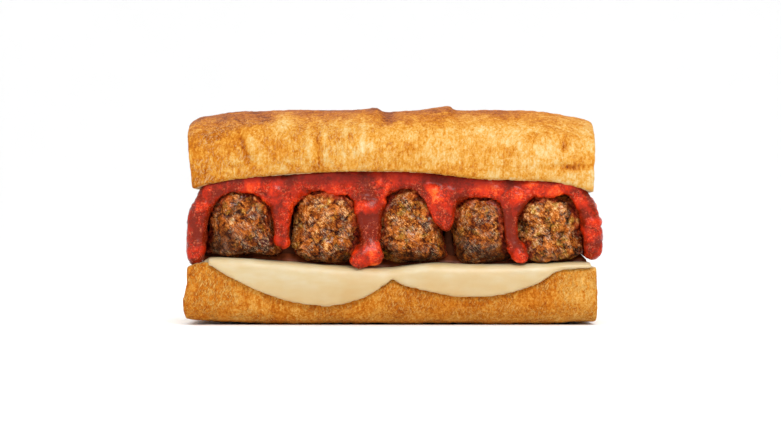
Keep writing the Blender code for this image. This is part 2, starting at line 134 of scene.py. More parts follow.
# Sauce relief: heights, and the features' sizes along, across and up.
SAUCE_SWELL = 0.75 * MM
CHUNK_HEIGHT = 1.0 * MM
CHUNK_SIZE = (9.0 * MM, 7.0 * MM, 6.5 * MM)
FOLD_HEIGHT = 0.5 * MM
FOLD_SIZE = (7 * MM, 7 * MM, 11 * MM)
PULP_HEIGHT = 0.22 * MM
PULP_SIZE = 2.2 * MM
SAUCE_WARP = 1.8 * MM
SAUCE_WARP_SIZE = 7 * MM
SMOOTH_FRONT = (37.5 * MM, 40.5 * MM)

# Band of sauce under the upper half's lip, smooth and painted dark as the lip's shadow: its depth in the middle
# and at the ends, and its ragged edge.
BAND_MIDDLE = 4.4 * MM
BAND_END = 2.2 * MM
BAND_PLACES = (30 * MM, 75 * MM)
BAND_RAGGED = 1.0 * MM
BAND_RAGGED_SIZE = 9 * MM

# Where the lip is found on the upper half, and how the sauce fills up against it.
LIP_INSIDE = 35 * MM
LIP_CEILING = 68 * MM
LIP_WINDOW = 0.8 * MM
LIP_FILL = 2.2 * MM
LIP_BULGE = 2.6 * MM
FILL_REACH = (-0.5 * MM, 5.0 * MM)
SAUCE_HALF_DEPTH = 35 * MM

# Sags of the front's sauce, in mm: place along and up, half width and height, drop (below 0, a lift).
SAUCE_SAGS = [
    (-26.5, 57.5, 5.5, 4.0, 3.5),
    (-88.0, 31.0, 6.0, 6.0, 2.6),
    (74.5, 54.0, 5.0, 4.5, -3.0),
    (61.0, 53.5, 4.0, 4.0, -1.8),
    (43.0, 57.0, 4.0, 3.0, 1.5),
]
SAG_LIMIT = 10
SAG_BULGE = 0.45

# Painted light and painted shade on the front's sauce, in mm: place along and up, half width and height,
# strength (above 0 lighter, below 0 darker).
SAUCE_PAINTED_LIGHT_AND_SHADE = [
    (-84.0, 45.0, 8.0, 14.0, -1.0),
    (-66.0, 59.0, 10.0, 3.0, 0.5),
    (-49.7, 48.0, 6.0, 12.0, 0.35),
    (-45.0, 60.0, 3.0, 3.0, -0.6),
    (-30.0, 60.0, 8.0, 3.0, 0.8),
    (-11.5, 44.0, 8.0, 10.0, -1.0),
    (-12.0, 28.0, 9.0, 5.5, 1.3),
    (13.0, 51.0, 6.0, 9.0, 0.55),
    (26.0, 58.0, 4.0, 4.0, -0.5),
    (35.0, 60.0, 8.0, 2.5, 0.7),
    (52.0, 43.0, 7.0, 10.0, -0.8),
    (54.0, 28.5, 5.0, 4.5, 0.9),
    (69.0, 58.5, 6.0, 2.0, 0.6),
    (88.0, 40.0, 8.0, 14.0, -0.2),
]

# Painted shade on the sauce deep inside, behind and between the meatballs: limits across, up and along.
INSIDE_DEPTHS = (28 * MM, 34 * MM)
INSIDE_HEIGHTS = (40 * MM, 50 * MM)
INSIDE_PLACES = (74 * MM, 80 * MM)

# Meat relief: heights, and the features' sizes along, across and up.
BALLS_PER_ROW = 5
BROKEN_HEIGHT = 1.8 * MM
BROKEN_SIZE = 12 * MM
SEAM_DEPTH = 0.7 * MM
LUMP_SIZE = 9 * MM
LUMP_WARP = 2.8 * MM
MEAT_GRAIN_HEIGHT = 0.35 * MM
MEAT_GRAIN_SIZE = (2.4 * MM, 2.4 * MM, 1.7 * MM)
MEAT_GRAIN_WARP = 1.5 * MM
BIT_HEIGHT = 0.5 * MM
BIT_SIZE = 2.0 * MM
BIT_WARP = 0.8 * MM
MEAT_WARP_SIZE = 3.4 * MM

# How far a ball's lower half broadens, and how squarely.
SETTLING = 0.9
SETTLED_POWER = 6
LOWEST_SETTLED = 0.95

# Film of sauce on the meat: it fades out between these distances from the sauce, in patches.
FILM_REACH = (0.8 * MM, 4.0 * MM)
FILM_FADE = 5 * MM
FILM_PATCH_SIZE = 4 * MM

# How browned a ball is, from 0 to 1.
USUAL_DONENESS = 0.5
DONENESS = {"meatball_front_1": 0.8, "meatball_front_4": 0.9, "meatball_front_5": 0.3}

# Dark juice stains, and painted shade low on the front's meat, in mm: place along and up, half width and
# height, strength.
MEAT_STAINS_AND_SHADE = [
    (-75.0, 35.0, 9.0, 6.5, 0.9),
    (-68.7, 50.7, 1.9, 1.5, 1.0),
    (-56.0, 29.5, 6.0, 3.0, 0.5),
    (-28.0, 28.0, 15.0, 3.5, 0.6),
    (8.0, 28.0, 15.0, 3.5, 0.6),
    (28.0, 35.0, 3.0, 8.0, 0.6),
    (45.0, 31.5, 12.0, 5.0, 0.8),
    (68.0, 28.5, 14.0, 3.0, 0.6),
]

# Cheese: soft waves, and a left tip that is drawn in lengthways and back from the roll's edge.
CHEESE_SWELL = 0.12 * MM
CHEESE_WAVE_HEIGHT = 0.22 * MM
CHEESE_WAVE_SIZE = 11 * MM
CHEESE_TIP = -80 * MM
TIP_DRAW = 0.5
TIP_BACK = 0.13
TIP_REACH = 4 * MM

# Juices: the pool's half length and half depth, its thickness over the cheese and its waves.
JUICE_HALF_LENGTH = 85 * MM
JUICE_HALF_DEPTH = 27 * MM
JUICE_THICKNESS = 4.0 * MM
JUICE_WAVE_HEIGHT = 1.2 * MM
JUICE_WAVE_SIZE = 6 * MM
JUICE_EDGE = (-1 * MM, 4 * MM)
JUICE_SUNK = 0.4 * MM
JUICE_STEP = 1.1 * MM
ABOVE_CHEESE = 40 * MM
SEARCH_DOWN = 30 * MM
CHEESE_LEVEL = 24.5 * MM

# Colours, from pale crust to burnt. Each stop is a tone and its colour.
TOP_PALETTE = [
    (0.0, (0.71, 0.57, 0.33)),
    (0.20, (0.65, 0.43, 0.16)),
    (0.40, (0.62, 0.29, 0.040)),
    (0.58, (0.50, 0.165, 0.010)),
    (0.78, (0.32, 0.075, 0.004)),
    (1.0, (0.12, 0.022, 0.003)),
]
BOTTOM_PALETTE = [
    (0.0, (0.70, 0.42, 0.13)),
    (0.24, (0.60, 0.27, 0.040)),
    (0.46, (0.48, 0.145, 0.008)),
    (0.68, (0.34, 0.075, 0.003)),
    (0.86, (0.19, 0.032, 0.002)),
    (1.0, (0.08, 0.014, 0.002)),
]
CRUMB_PALETTE = [(0.3, (0.70, 0.49, 0.24)), (0.7, (0.80, 0.61, 0.35))]
# Painted shade for the crumb's pores.
PORE_SHADE_COLOUR = (0.52, 0.27, 0.09)

# Sauce colours, from deep to bright.
SAUCE_PALETTE = [
    (0.12, (0.16, 0.010, 0.001)),
    (0.34, (0.33, 0.014, 0.001)),
    (0.54, (0.53, 0.022, 0.002)),
    (0.74, (0.69, 0.045, 0.004)),
    (0.95, (0.80, 0.14, 0.02)),
]
# Pale specks on the sauce, painted as glints.
SPECK_GLINT_COLOUR = (0.88, 0.20, 0.08)
# Painted shadow under the lip, from dark to less dark.
LIP_SHADOW_COLOURS = ((0.09, 0.005, 0.001), (0.33, 0.012, 0.002))
# Painted shade deep inside the sandwich.
INSIDE_SHADE_COLOUR = (0.05, 0.010, 0.002)

# Meat colours, from charred to fatty, then the dark and light shades of its other parts.
MEAT_PALETTE = [
    (0.06, (0.012, 0.003, 0.001)),
    (0.24, (0.11, 0.022, 0.003)),
    (0.42, (0.34, 0.068, 0.004)),
    (0.62, (0.60, 0.195, 0.018)),
    (0.88, (0.90, 0.62, 0.28)),
]
OLIVE_SHADES = ((0.035, 0.020, 0.001), (0.66, 0.48, 0.06))
RUDDY_SHADES = ((0.07, 0.006, 0.001), (0.84, 0.20, 0.018))
# The stain colours also stand for painted shade low on the balls.
STAIN_AND_SHADE_COLOURS = ((0.03, 0.008, 0.002), (0.30, 0.085, 0.018))
FILM_SHADES = ((0.10, 0.004, 0.003), (0.50, 0.03, 0.008))
CHARRED_COLOUR = (0.03, 0.012, 0.008)
# Pale slivers, painted as highlights.
SLIVER_HIGHLIGHT_COLOUR = (0.80, 0.50, 0.25)

# Cheese, juice and floor colours; the juice is kept dark as painted shade under and between the balls.
CHEESE_PALETTE = [(0.25, (0.49, 0.325, 0.13)), (0.5, (0.51, 0.38, 0.19)), (0.75, (0.535, 0.455, 0.285))]
JUICE_AND_SHADE_PALETTE = [(0.25, (0.04, 0.008, 0.002)), (0.75, (0.17, 0.032, 0.006))]
FLOOR_SHADES = ((0.93, 0.93, 0.93), (0.95, 0.95, 0.95))


# Mesh helpers


def coordinates(mesh):
    points = np.empty(len(mesh.vertices) * 3)
    mesh.vertices.foreach_get("co", points)
    return points.reshape(-1, 3)


def normals(mesh):
    found = np.empty(len(mesh.vertices) * 3)
    mesh.vertices.foreach_get("normal", found)
    return found.reshape(-1, 3)


def move_to(mesh, points):
    mesh.vertices.foreach_set("co", points.ravel())
    mesh.update()


def raised(points, facing, height):
    """The points, each moved out along its normal by its own height."""
    return points + facing * height[:, None]


def rise_in(points, name):
    """Each point's share of the named solid's height: 0 at its base, 1 at its top."""
    low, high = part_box(name)
    return np.clip((points[:, 2] - low.z) / (high.z - low.z), 0, 1)


def paint(mesh, name, values):
    """Stores one number for each vertex, which a material reads by its name."""
    layer = mesh.attributes.new(name, "FLOAT", "POINT")
    layer.data.foreach_set("value", np.asarray(values, float))


def smoothstep(values, low, high):
    t = np.clip((values - low) / (high - low), 0.0, 1.0)
    return t * t * (3 - 2 * t)


def bump_at(values, centre, width):
    return np.exp(-(((values - centre) / width) ** 2))


def fractal(points, scale, seed, octaves=3):
    """Smooth noise of about -1 to 1 at every point. The scale is one size or one for each axis."""
    placed = points / np.asarray(scale) + seed
    return np.array([noise.fractal(p, 1.0, 2.0, octaves) for p in placed.tolist()])


def warped_by(points, scale, seeds):
    """Smooth noise of about -1 to 1 for each axis of every point, one seed for each axis."""
    return np.stack([fractal(points, scale, seed, 2) for seed in seeds], axis=1)


def cells(points, scale, seed):
    """Distance to the nearest and the next cell's middle, in cells, and a random number for each cell."""
    placed = points / np.asarray(scale) + seed
    near, following, tint = [], [], []
    for p in placed.tolist():
        distances, centres = noise.voronoi(p)
        near.append(distances[0])
        following.append(distances[1])
        tint.append(noise.cell(centres[0] * 7.3))
    return np.array(near), np.array(following), np.array(tint)


def spots(points, places, least, most):
    """The sum of soft spots on the front, in mm: place along and up, half width and height, strength."""
    x, y, z = (points / MM).T
    total = np.zeros(len(points))
    for across, up, half_width, half_height, strength in places:
        total += strength * bump_at(x, across, half_width) * bump_at(z, up, half_height)
    return np.clip(total * (y < 0), least, most)


def joined_solids(names, sharp):
    """The named solids as one mesh of few faces. Its edges sharper than this many degrees are creased."""
    bm = bmesh.new()
    for name in names:
        bm.from_mesh(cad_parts[name].data)
    bmesh.ops.remove_doubles(bm, verts=bm.verts, dist=WELD_DISTANCE)
    bmesh.ops.join_triangles(
        bm, faces=bm.faces, angle_face_threshold=NEARLY_FLAT, angle_shape_threshold=NEARLY_SQUARE
    )
    crease = bm.edges.layers.float.new("crease_edge")
    for edge in bm.edges:
        if edge.calc_face_angle(0.0) > math.radians(sharp):
            edge[crease] = 1.0
    mesh = bpy.data.meshes.new("form")
    bm.to_mesh(mesh)
    bm.free()
    return mesh


def solid_form(names, rounding, voxel, smoothing, sharp=50):
    """The named solids as one fine mesh, their facets rounded into the curves that they stand for."""
    obj = bpy.data.objects.new("form", joined_solids(names, sharp))
    bpy.context.scene.collection.objects.link(obj)
    subdivide = obj.modifiers.new("round", "SUBSURF")
    subdivide.levels = rounding
    subdivide.render_levels = rounding
    remesh = obj.modifiers.new("even", "REMESH")
    remesh.mode = "VOXEL"
    remesh.voxel_size = voxel
    smooth = obj.modifiers.new("settle", "SMOOTH")
    smooth.factor = 0.5
    smooth.iterations = smoothing
    graph = bpy.context.evaluated_depsgraph_get()
    fine = bpy.data.meshes.new_from_object(obj.evaluated_get(graph))
    bpy.data.objects.remove(obj)
    return fine


def place(name, mesh, material, slot, replaced):
    """Makes a finished piece that rides with the sandwich and stands for the named solids."""
    mesh.materials.clear()
    mesh.materials.append(material)
    mesh.shade_smooth()
    piece = bpy.data.objects.new(name, mesh)
    bpy.context.scene.collection.objects.link(piece)
    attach(piece, "root")
    if replaced:
        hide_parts(*replaced)
    return piece


# Material helpers


class Graph:
    """A material's node tree, with the few nodes that the materials here are made of."""

    def __init__(self, name):
        self.material = bpy.data.materials.new(name)
        self.material.use_nodes = True
        self.tree = self.material.node_tree
        self.shader = self.tree.nodes["Principled BSDF"]
        self.position = self.add("ShaderNodeTexCoord").outputs["Object"]

    def add(self, kind, **settings):
        node = self.tree.nodes.new(kind)
        for name, value in settings.items():
            setattr(node, name, value)
        return node

    def link(self, value, socket):
        if isinstance(value, bpy.types.NodeSocket):
            self.tree.links.new(value, socket)
        else:
            socket.default_value = value

    def set(self, **values):
        """Gives the shader's sockets their values, with _ for each space in a socket's name."""
        for name, value in values.items():
            self.link(value, self.shader.inputs[name.replace("_", " ")])

    def along(self):
        """The place along the sandwich, in metres."""
        separate = self.add("ShaderNodeSeparateXYZ")
        self.link(self.position, separate.inputs[0])
        return separate.outputs["X"]

    def attribute(self, name):
        return self.add("ShaderNodeAttribute", attribute_name=name).outputs["Fac"]

    def noise(self, size, detail, roughness=0.55, stretch=(1, 1, 1), swirl=0.0, lean=0.0):
        """Noise of 0 to 1 with features of about this size in metres, drawn out along an axis by its stretch.

        The lean turns the pattern to the right, as seen from the front.
        """
        mapping = self.add("ShaderNodeMapping", vector_type="TEXTURE")
        self.link(self.position, mapping.inputs["Vector"])
        mapping.inputs["Rotation"].default_value = (0, lean, 0)
        mapping.inputs["Scale"].default_value = [size * s for s in stretch]
        node = self.add("ShaderNodeTexNoise")
        self.link(mapping.outputs["Vector"], node.inputs["Vector"])
        node.inputs["Scale"].default_value = 1.0
        node.inputs["Detail"].default_value = detail
        node.inputs["Roughness"].default_value = roughness
        node.inputs["Distortion"].default_value = swirl
        return node.outputs["Fac"]

    def strokes(self, size, lean, share, swirl=0.4):
        """Short strokes, four times as long as wide: 1 on a stroke, 0 away from it."""
        return self.step(self.noise(size, 2, 0.6, (1, 1, 4), swirl, lean), share, share + 0.07)

    def math(self, operation, first, second=0.0, third=0.0):
        node = self.add("ShaderNodeMath", operation=operation)
        for value, socket in zip((first, second, third), node.inputs):
            self.link(value, socket)
        return node.outputs[0]

    def times(self, first, second):
        return self.math("MULTIPLY", first, second)

    def blend(self, *parts):
        """The sum of values, each with its own weight."""
        total = 0.0
        for value, weight in parts:
            total = self.math("MULTIPLY_ADD", value, weight, total)
        return total

    def step(self, value, low, high):
        node = self.add("ShaderNodeMapRange", interpolation_type="SMOOTHSTEP")
        self.link(value, node.inputs["Value"])
        node.inputs["From Min"].default_value = low
        node.inputs["From Max"].default_value = high
        return node.outputs["Result"]

    def ramp(self, value, stops):
        """A colour for each value, between stops of (value, colour)."""
        node = self.add("ShaderNodeValToRGB")
        elements = node.color_ramp.elements
        while len(elements) < len(stops):
            elements.new(0.5)
        for element, (at, colour) in zip(elements, stops):
            element.position = at
            element.color = (*colour, 1.0)
        self.link(value, node.inputs["Fac"])
        return node.outputs["Color"]

    def mix(self, share, first, second):
        node = self.add("ShaderNodeMix", data_type="RGBA")
        self.link(share, node.inputs["Factor"])
        for value, socket in ((first, node.inputs[6]), (second, node.inputs[7])):
            self.link((*value, 1.0) if isinstance(value, tuple) else value, socket)
        return node.outputs[2]

    def bump(self, height, depth, strength):
        node = self.add("ShaderNodeBump")
        node.inputs["Strength"].default_value = strength
        node.inputs["Distance"].default_value = depth
        self.link(height, node.inputs["Height"])
        self.link(node.outputs["Normal"], self.shader.inputs["Normal"])


# Bread


def height_from_cut(points, upper):
    """How far each point is above the upper half's cut edge, or below the lower half's."""
    places = np.arange(points[:, 0].min(), points[:, 0].max(), EDGE_STEP)
    index = np.clip(np.searchsorted(places, points[:, 0]) - 1, 0, len(places) - 1)
    edge = np.full(len(places), math.inf if upper else -math.inf)
    pick = np.minimum if upper else np.maximum
    pick.at(edge, index, points[:, 2])
    cut_height = np.interp(points[:, 0], places + EDGE_STEP / 2, edge)
    return (points[:, 2] - cut_height) * (1 if upper else -1)


def near_crust(points, is_crust, reach):
    """1 at the crust, falling to 0 at the given distance from it."""
    tree = KDTree(int(is_crust.sum()))
    for i, p in enumerate(points[is_crust].tolist()):
        tree.insert(p, i)
    tree.balance()
    distance = np.array([0.0 if crust else tree.find(p)[2] for p, crust in zip(points.tolist(), is_crust)])
    return 1 - smoothstep(distance, 0.6 * reach, 1.5 * reach)


def crust_share(points, facing, name, from_cut, upper):
    """1 on the crust, 0 on the crumb of the cut face and the two cut ends, blending inside their rims."""
    low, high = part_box(name)
    cutward = facing[:, 2] * (-1 if upper else 1)
    by_edge = (cutward > FLAT_FACING) & (from_cut < CUT_REACH)
    inside_rim = (cutward > SLOPING_FACING) & (np.abs(points[:, 1]) < CUT_HALF_DEPTH)
    from_end = np.minimum(points[:, 0] - low.x, high.x - points[:, 0])
    on_end = (np.abs(facing[:, 0]) > FLAT_FACING) & (from_end < END_REACH)
    return near_crust(points, ~(by_edge | inside_rim | on_end), CRUST_RING)


def crumb_pores(points, seed):
    """Open pores of two sizes: 1 in a pore's middle, 0 between the pores."""
    warped = points + PORE_WARP * fractal(points, PORE_WARP_SIZE, seed + 1.6, 2)[:, None]
    near, _, width = cells(warped, PORE_SIZE, seed + 2.2)
    small, _, small_width = cells(warped, SMALL_PORE_SIZE, seed + 5.4)
    pores = 1 - smoothstep(near, 0.05, 0.35 + 0.2 * width)
    small_pores = 1 - smoothstep(small, 0.1, 0.4 + 0.2 * small_width)
    return np.maximum(pores, 0.6 * small_pores)


def crust_marks(points):
    """Blemishes on the crown's front: above 0 where the crust dips and is dark, below 0 where it's pale."""
    x, _, z = (points / MM).T
    total = np.zeros(len(points))
    for across, up, half_width, half_height, lean, depth in CRUST_MARKS:
        leaned = x - across + lean * (z - up)
        total += depth * bump_at(leaned, 0, half_width) * np.exp(-(((z - up) / half_height) ** 4))
    return total * smoothstep(-points[:, 1], *MARKS_FRONT)


def square_ends(points):
    """Draws the crown's two end corners out, as the cut left them."""
    high_up = smoothstep(points[:, 2], *TOP_CORNER_HEIGHTS)
    near_end = smoothstep(np.abs(points[:, 0]), *TOP_CORNER_PLACES)
    points[:, 0] += np.sign(points[:, 0]) * CORNER_REACH * high_up * near_end
    points[:, 2] += CORNER_RISE * high_up * near_end
    return points


def flare_foot(points):
    """Lets the lower half spread a little at its left foot, and draws its upper left corner out."""
    low_down = bump_at(points[:, 2], FOOT_HEIGHT, FOOT_HALF_HEIGHT)
    high_up = smoothstep(points[:, 2], *LEFT_CORNER_HEIGHTS)
    leftward = smoothstep(-points[:, 0], *LEFT_CORNER_PLACES)
    points[:, 0] -= LEFT_CORNER_REACH * high_up * leftward
    points[:, 2] += CORNER_RISE * high_up * leftward
    points[:, 0] -= FOOT_FLARE * low_down * smoothstep(-points[:, 0], *FOOT_PLACES)
    return points


def bread_mesh(name, upper, seed):
    """One half of the roll: mottled, wrinkled crust, and open crumb on every cut face."""
    mesh = solid_form([name], rounding=2, voxel=BREAD_VOXEL, smoothing=3, sharp=22)
    points, facing = coordinates(mesh), normals(mesh)
    from_cut = height_from_cut(points, upper)
    crust = crust_share(points, facing, name, from_cut, upper)
    crumb = 1 - crust
    pores = crumb_pores(points, seed) * crumb
    humps = fractal(points, HUMP_SIZE, seed)
    wrinkles = fractal(points, WRINKLE_SIZE, seed + 9.1, 2)
    grain = fractal(points, BREAD_GRAIN_SIZE, seed + 4.7)
    marks = crust_marks(points) if upper else np.zeros(len(points))
    height = crust * (HUMP_HEIGHT * humps + WRINKLE_HEIGHT * wrinkles + CRUST_GRAIN_HEIGHT * grain)
    height += CRUMB_GRAIN_HEIGHT * crumb * grain - PORE_DEPTH * pores
    height -= MARK_DEPTH * crust * marks
    moved = raised(points, facing, height)
    move_to(mesh, square_ends(moved) if upper else flare_foot(moved))
    paint(mesh, "marks", marks)
    paint(mesh, "crumb", crumb)
    paint(mesh, "pores", pores)
    paint(mesh, "from_cut", np.clip(from_cut / EDGE_FADE, 0, 1))
    paint(mesh, "rise", rise_in(points, name))
    return mesh


def crumb_colour(g, fine):
    """Pale crumb, with painted shade in its pores."""
    tone = g.blend((g.noise(5 * MM, 3), 0.6), (fine, 0.5), (1.0, -0.05))
    return g.mix(g.times(g.attribute("pores"), 0.65), g.ramp(tone, CRUMB_PALETTE), PORE_SHADE_COLOUR)


def bread_material(name, palette, browning, scuffs, grit):
    """Baked crust whose brown deepens with the given node values, around pale open crumb."""
    g = Graph(name)
    broad = g.noise(22 * MM, 3)
    patches = g.noise(6 * MM, 3, 0.6, swirl=0.6)
    mottle = g.noise(2.2 * MM, 3, 0.7, (1, 1, 1.6), 1.2)
    fine = g.noise(1.0 * MM, 3, 0.75, swirl=0.8)
    streaks = g.noise(0.9 * MM, 2, 0.6, (1, 1, 6), 0.3)
    tone = g.blend(
        (browning(g), 1.0),
        (broad, 0.6),
        (patches, 0.65),
        (mottle, 0.75),
        (fine, grit),
        (streaks, 0.5),
        (g.attribute("marks"), 0.25),
        (1.0, -1.19 - grit / 2),
    )
    rubbed = g.times(g.step(g.noise(11 * MM, 2), 0.38, 0.56), scuffs(g))
    strokes = g.math("MAXIMUM", g.strokes(0.6 * MM, 0.5, 0.55), g.strokes(0.55 * MM, -0.4, 0.57))
    strokes = g.times(strokes, rubbed)
    palest, pale = palette[0][1], palette[1][1]
    rubbed_colour = tuple((a + b) / 2 for a, b in zip(palest, pale))
    crust = g.mix(g.times(strokes, 0.7), g.ramp(tone, palette), rubbed_colour)
    cut = g.step(g.attribute("crumb"), 0.15, 0.85)
    g.set(Base_Color=g.mix(cut, crust, crumb_colour(g, fine)))
    g.set(Roughness=g.blend((mottle, 0.3), (cut, 0.2), (1.0, 0.42)))
    g.set(Specular_IOR_Level=0.04)
    g.bump(g.blend((fine, 0.6), (mottle, 0.6), (strokes, 0.3), (streaks, 0.3)), 0.7 * MM, 1.0)
    return g.material


def top_browning(g):
    """Pale above the lip, golden over the belly, and browner towards the crown and the left end; the crest and
    the left end are darkened partly as painted shade, and the right end is lightened as painted light.
    """
    crown = g.step(g.attribute("rise"), 0.62, 1.0)
    # The crest is darkened partly as painted shade, where the crown turns away from the light.
    crest = g.step(g.attribute("rise"), 0.84, 0.96)
    # The left end's brown is partly painted shade.
    left = g.step(g.along(), -48 * MM, -92 * MM)
    lip = g.step(g.attribute("from_cut"), 0.38, 0.0)
    # Painted light: lighter towards the right end.
    right = g.step(g.along(), 10 * MM, 70 * MM)
    return g.blend((crown, 0.30), (crest, 0.08), (left, 0.20), (lip, 0.04), (right, -0.10), (1.0, 0.37))


def bottom_browning(g):
    """Even orange brown, darker along the base, with painted light over its lower part and towards the right
    end.
    """
    # Painted light: lighter over the lower part.
    foot = g.step(g.attribute("rise"), 0.35, 0.0)
    singed = g.step(g.attribute("rise"), 0.09, 0.02)
    rim = g.step(g.attribute("from_cut"), 0.12, 0.0)
    # Painted light: lighter towards the right end.
    right = g.step(g.along(), 50 * MM, 90 * MM)
    return g.blend((foot, -0.10), (singed, 0.14), (rim, -0.16), (right, -0.18), (1.0, 0.43))


def top_scuffs(g):
    """How rubbed the upper crust is: most towards the left end, and hardly on the browned crown."""
    left = g.step(g.along(), 15 * MM, -35 * MM)
    below_crown = g.step(g.attribute("rise"), 0.92, 0.72)
    return g.times(g.blend((left, 0.35), (1.0, 0.2)), below_crown)


def bottom_scuffs(g):
    """How rubbed the lower crust is: all over, and more at both ends."""
    endward = g.step(g.math("ABSOLUTE", g.along()), 25 * MM, 80 * MM)
    return g.blend((endward, 0.4), (1.0, 0.9))


def make_bread():
    top = bread_material("top_crust", TOP_PALETTE, top_browning, top_scuffs, 0.7)
    bottom = bread_material("bottom_crust", BOTTOM_PALETTE, bottom_browning, bottom_scuffs, 1.1)
    place("roll_top", bread_mesh("bread_top", True, 3.3), top, "crust_pale", ["bread_top"])
    place("roll_bottom", bread_mesh("bread_bottom", False, 41.7), bottom, "crust_dark", ["bread_bottom"])


# Sauce


def lip_line():
    """The upper half's lower outer edge: its places along, and its height at each."""
    points = coordinates(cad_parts["bread_top"].data)
    edge = points[(np.abs(points[:, 1]) > LIP_INSIDE) & (points[:, 2] < LIP_CEILING)]
    places = np.unique(np.round(edge[:, 0] / MM) * MM)
    heights = [edge[np.abs(edge[:, 0] - place) < LIP_WINDOW, 2].min() for place in places]
    return places, heights


def lip_shadow_band(points, under_lip):
    """The smooth band of painted shadow under the lip: 1 in it, 0 below it."""
    endward = smoothstep(np.abs(points[:, 0]), *BAND_PLACES)
    depth = BAND_MIDDLE + (BAND_END - BAND_MIDDLE) * endward
    ragged = under_lip + BAND_RAGGED * fractal(points, BAND_RAGGED_SIZE, 44.1, 2)
    return 1 - smoothstep(ragged, 0.7 * depth, 1.3 * depth)


def tomato_chunks(points):
    """Rounded chunks in some places, with creases between them."""
    near, following, tint = cells(points, CHUNK_SIZE, 12.4)
    creases = 1 - smoothstep(following - near, 0.0, 0.25)
    return (1 - smoothstep(near, 0.15, 0.8)) * smoothstep(tint, -0.2, 0.4) - 0.25 * creases


def hang_sauce(points, moved, under_lip):
    """Fills the sauce up against the lip, and lets its front sag and lift."""
    at_lip = 1 - smoothstep(under_lip, *FILL_REACH)
    moved[:, 2] += LIP_FILL * at_lip
    moved[:, 1] += LIP_BULGE * at_lip * points[:, 1] / SAUCE_HALF_DEPTH
    sag = MM * spots(points, SAUCE_SAGS, -SAG_LIMIT, SAG_LIMIT)
    moved[:, 2] -= sag
    moved[:, 1] -= SAG_BULGE * np.maximum(sag, 0)
    return moved


def inside_shade(points):
    """Painted shade: 1 deep inside the sandwich, low between the meatballs, and 0 where the sauce is in the
    light.
    """
    share = 1 - smoothstep(np.abs(points[:, 1]), *INSIDE_DEPTHS)
    share *= 1 - smoothstep(points[:, 2], *INSIDE_HEIGHTS)
    return share * (1 - smoothstep(np.abs(points[:, 0]), *INSIDE_PLACES))


def sauce_mesh():
    """Thick sauce with chunks of tomato in it, run against the meat that it lies on."""
    mesh = solid_form(["sauce"], rounding=1, voxel=SAUCE_VOXEL, smoothing=6)
    points, facing = coordinates(mesh), normals(mesh)
    warped = points + SAUCE_WARP * warped_by(points, SAUCE_WARP_SIZE, (3.1, 8.2, 14.6))
    chunks = tomato_chunks(warped)
    folds = fractal(points, FOLD_SIZE, 31.5)
    pulp = fractal(warped, PULP_SIZE, 17.2)
    under_lip = np.interp(points[:, 0], *lip_line()) - points[:, 2]
    band = lip_shadow_band(points, under_lip)
    lively = (1 - smoothstep(-points[:, 1], *SMOOTH_FRONT)) * (1 - band)
    height = SAUCE_SWELL + lively * (CHUNK_HEIGHT * (chunks - 0.25) + FOLD_HEIGHT * folds)
    height += PULP_HEIGHT * pulp * (0.4 + 0.6 * lively)
    move_to(mesh, hang_sauce(points, raised(points, facing, height), under_lip))
    # Relief for the colour: painted light on the raised chunks and folds, painted shade in the creases.
    paint(mesh, "relief", np.clip(0.5 + 0.35 * folds + 0.45 * (chunks - 0.3) + 0.2 * pulp, 0, 1))
    # The band's mask, for its painted shadow.
    paint(mesh, "band", band)
    # Painted shade deep inside.
    paint(mesh, "shade", inside_shade(points))
    # Painted light and painted shade in the listed spots.
    paint(mesh, "painted_light_and_shade", 0.5 + 0.5 * spots(points, SAUCE_PAINTED_LIGHT_AND_SHADE, -1, 1))
    return mesh


def sauce_material():
    """Glossy red sauce, grainy in patches, with painted light on its chunks and painted shade in its creases,
    painted light and shade in spots, specks painted as glints, duller with painted shadow in the band under the
    lip, and painted shade deep inside.
    """
    g = Graph("tomato_sauce")
    band, shade = g.attribute("band"), g.attribute("shade")
    broad = g.noise(8 * MM, 3, swirl=0.5)
    pulp = g.noise(1.8 * MM, 3, 0.6, swirl=1.6)
    fine = g.noise(0.8 * MM, 3, 0.6, swirl=1.0)
    grainy = g.step(g.noise(6 * MM, 2), 0.42, 0.54)
    grain = g.times(g.math("SUBTRACT", fine, 0.5), grainy)
    specks = g.times(g.step(g.noise(0.9 * MM, 2, swirl=1.0), 0.55, 0.64), grainy)
    # The tone takes painted light and shade from the relief and the spots.
    tone = g.blend(
        (g.attribute("relief"), 0.95),
        (broad, 0.45),
        (pulp, 0.8),
        (grain, 1.54),
        (g.attribute("painted_light_and_shade"), 0.7),
        (1.0, -1.05),
    )
    # Specks painted as glints.
    colour = g.mix(g.times(specks, 0.35), g.ramp(tone, SAUCE_PALETTE), SPECK_GLINT_COLOUR)
    # Painted shadow in the band under the lip.
    colour = g.mix(g.times(band, 0.92), colour, g.mix(tone, *LIP_SHADOW_COLOURS))
    # Painted shade deep inside.
    g.set(Base_Color=g.mix(shade, colour, INSIDE_SHADE_COLOUR))
    g.set(Roughness=g.blend((pulp, 0.35), (band, 0.4), (shade, 0.5), (1.0, 0.03)))
    g.set(Specular_IOR_Level=0.10)
    g.set(Coat_Weight=g.blend((shade, -0.12), (1.0, 0.12)))
    g.set(Coat_Roughness=0.06)
    g.bump(g.blend((fine, 0.35), (pulp, 0.6), (specks, 0.25)), 0.5 * MM, 0.75)
    return g.material


def make_sauce():
    return place("tomato_sauce", sauce_mesh(), sauce_material(), "tomato_sauce", ["sauce"])


# Meatballs


